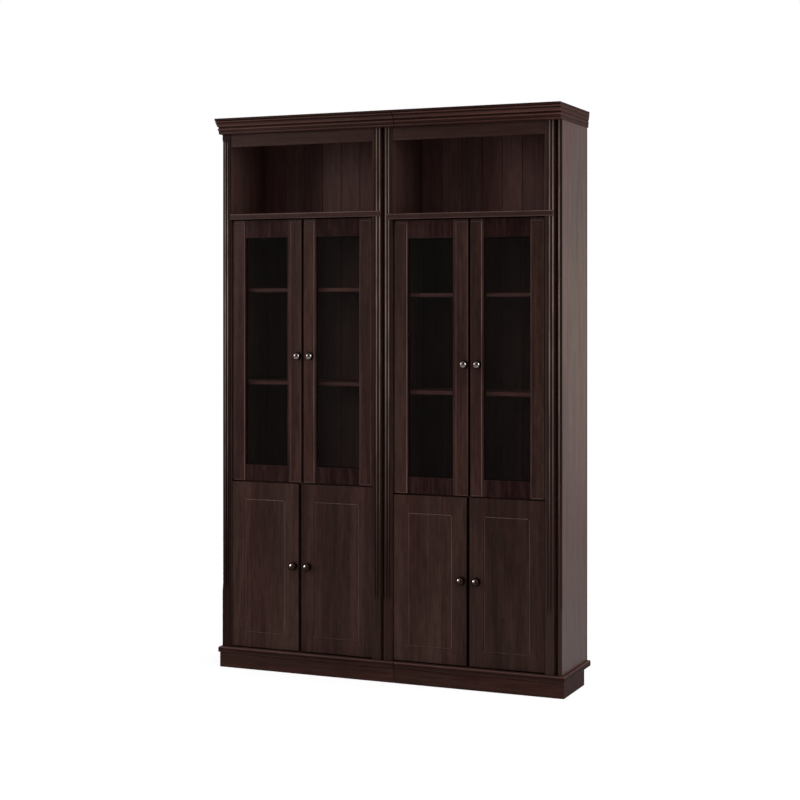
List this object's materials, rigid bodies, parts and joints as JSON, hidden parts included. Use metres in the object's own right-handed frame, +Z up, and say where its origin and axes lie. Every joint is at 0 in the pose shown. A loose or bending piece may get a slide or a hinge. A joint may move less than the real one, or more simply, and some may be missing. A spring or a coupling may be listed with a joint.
{
  "type": "two-bay display bookcase",
  "caption": "Tall dark-stained bookcase wall with open niches above glazed doors and panelled lower doors, reeded uprights, crown moulding and plinth.",
  "frame": {"origin": "bottom centre of the whole piece, on the floor", "axes": "+Z up, -Y towards the viewer in front of the doors, +X to the right seen from the front"},
  "size_m": [1.4536, 0.372, 2.2],
  "materials": {
    "front_wood": "dark brown stained pine, satin lacquer",
    "side_wood": "dark brown stained pine, satin lacquer",
    "inner_wood": "dark brown stained pine, matt",
    "glass": "clear",
    "polished_metal": "polished, darkened",
    "bronze": "dark bronze, satin",
    "hinge_steel": "nickel plated"
  },
  "bodies": {
    "carcass": {"left_side_panel": "side_wood", "centre_upright_left": "front_wood", "centre_upright_right": "front_wood", "right_side_panel": "side_wood", "left_bay_plinth": "front_wood", "left_bay_base_board": "front_wood", "left_bay_back": "inner_wood", "left_bay_top": "side_wood", "left_bay_frieze": "front_wood", "left_bay_cornice": "front_wood", "left_bay_niche_floor": "front_wood", "left_bay_middle_shelf": "inner_wood", "left_bay_shelf_1": "inner_wood", "left_bay_shelf_2": "inner_wood", "right_bay_plinth": "front_wood", "right_bay_base_board": "front_wood", "right_bay_back": "inner_wood", "right_bay_top": "side_wood", "right_bay_frieze": "front_wood", "right_bay_cornice": "front_wood", "right_bay_niche_floor": "front_wood", "right_bay_middle_shelf": "inner_wood", "right_bay_shelf_1": "inner_wood", "right_bay_shelf_2": "inner_wood", "left_bay_glazed_door_left_hinge_bottom": "hinge_steel", "left_bay_glazed_door_left_hinge_top": "hinge_steel", "left_bay_glazed_door_right_hinge_bottom": "hinge_steel", "left_bay_glazed_door_right_hinge_top": "hinge_steel", "left_bay_lower_door_left_hinge_bottom": "hinge_steel", "left_bay_lower_door_left_hinge_top": "hinge_steel", "left_bay_lower_door_right_hinge_bottom": "hinge_steel", "left_bay_lower_door_right_hinge_top": "hinge_steel", "right_bay_glazed_door_left_hinge_bottom": "hinge_steel", "right_bay_glazed_door_left_hinge_top": "hinge_steel", "right_bay_glazed_door_right_hinge_bottom": "hinge_steel", "right_bay_glazed_door_right_hinge_top": "hinge_steel", "right_bay_lower_door_left_hinge_bottom": "hinge_steel", "right_bay_lower_door_left_hinge_top": "hinge_steel", "right_bay_lower_door_right_hinge_bottom": "hinge_steel", "right_bay_lower_door_right_hinge_top": "hinge_steel"},
    "left_bay_glazed_door_left": {"left_bay_glazed_door_left_frame": "front_wood", "left_bay_glazed_door_left_glass": "glass", "left_bay_glazed_door_left_knob": "polished_metal"},
    "left_bay_glazed_door_right": {"left_bay_glazed_door_right_frame": "front_wood", "left_bay_glazed_door_right_glass": "glass", "left_bay_glazed_door_right_knob": "polished_metal"},
    "left_bay_lower_door_left": {"left_bay_lower_door_left_panel": "front_wood", "left_bay_lower_door_left_knob": "bronze"},
    "left_bay_lower_door_right": {"left_bay_lower_door_right_panel": "front_wood", "left_bay_lower_door_right_knob": "bronze"},
    "right_bay_glazed_door_left": {"right_bay_glazed_door_left_frame": "front_wood", "right_bay_glazed_door_left_glass": "glass", "right_bay_glazed_door_left_knob": "polished_metal"},
    "right_bay_glazed_door_right": {"right_bay_glazed_door_right_frame": "front_wood", "right_bay_glazed_door_right_glass": "glass", "right_bay_glazed_door_right_knob": "polished_metal"},
    "right_bay_lower_door_left": {"right_bay_lower_door_left_panel": "front_wood", "right_bay_lower_door_left_knob": "bronze"},
    "right_bay_lower_door_right": {"right_bay_lower_door_right_panel": "front_wood", "right_bay_lower_door_right_knob": "bronze"}
  },
  "joints": [
    {"name": "left_bay_glazed_door_left_swing", "type": "hinge", "parent": "carcass", "child": "left_bay_glazed_door_left", "pos_m": [-0.67475, -0.127, 1.273], "axis": [0, 0, -1], "range_deg": [0, 100]},
    {"name": "left_bay_glazed_door_right_swing", "type": "hinge", "parent": "carcass", "child": "left_bay_glazed_door_right", "pos_m": [-0.05525, -0.127, 1.273], "axis": [0, 0, 1], "range_deg": [0, 90]},
    {"name": "left_bay_lower_door_left_swing", "type": "hinge", "parent": "carcass", "child": "left_bay_lower_door_left", "pos_m": [-0.67475, -0.127, 0.4165], "axis": [0, 0, -1], "range_deg": [0, 100]},
    {"name": "left_bay_lower_door_right_swing", "type": "hinge", "parent": "carcass", "child": "left_bay_lower_door_right", "pos_m": [-0.05525, -0.127, 0.4165], "axis": [0, 0, 1], "range_deg": [0, 90]},
    {"name": "right_bay_glazed_door_left_swing", "type": "hinge", "parent": "carcass", "child": "right_bay_glazed_door_left", "pos_m": [0.03175, -0.127, 1.2552], "axis": [0, 0, -1], "range_deg": [0, 90]},
    {"name": "right_bay_glazed_door_right_swing", "type": "hinge", "parent": "carcass", "child": "right_bay_glazed_door_right", "pos_m": [0.64575, -0.127, 1.2552], "axis": [0, 0, 1], "range_deg": [0, 100]},
    {"name": "right_bay_lower_door_left_swing", "type": "hinge", "parent": "carcass", "child": "right_bay_lower_door_left", "pos_m": [0.03175, -0.127, 0.4052], "axis": [0, 0, -1], "range_deg": [0, 90]},
    {"name": "right_bay_lower_door_right_swing", "type": "hinge", "parent": "carcass", "child": "right_bay_lower_door_right", "pos_m": [0.64575, -0.127, 0.4052], "axis": [0, 0, 1], "range_deg": [0, 100]}
  ]
}
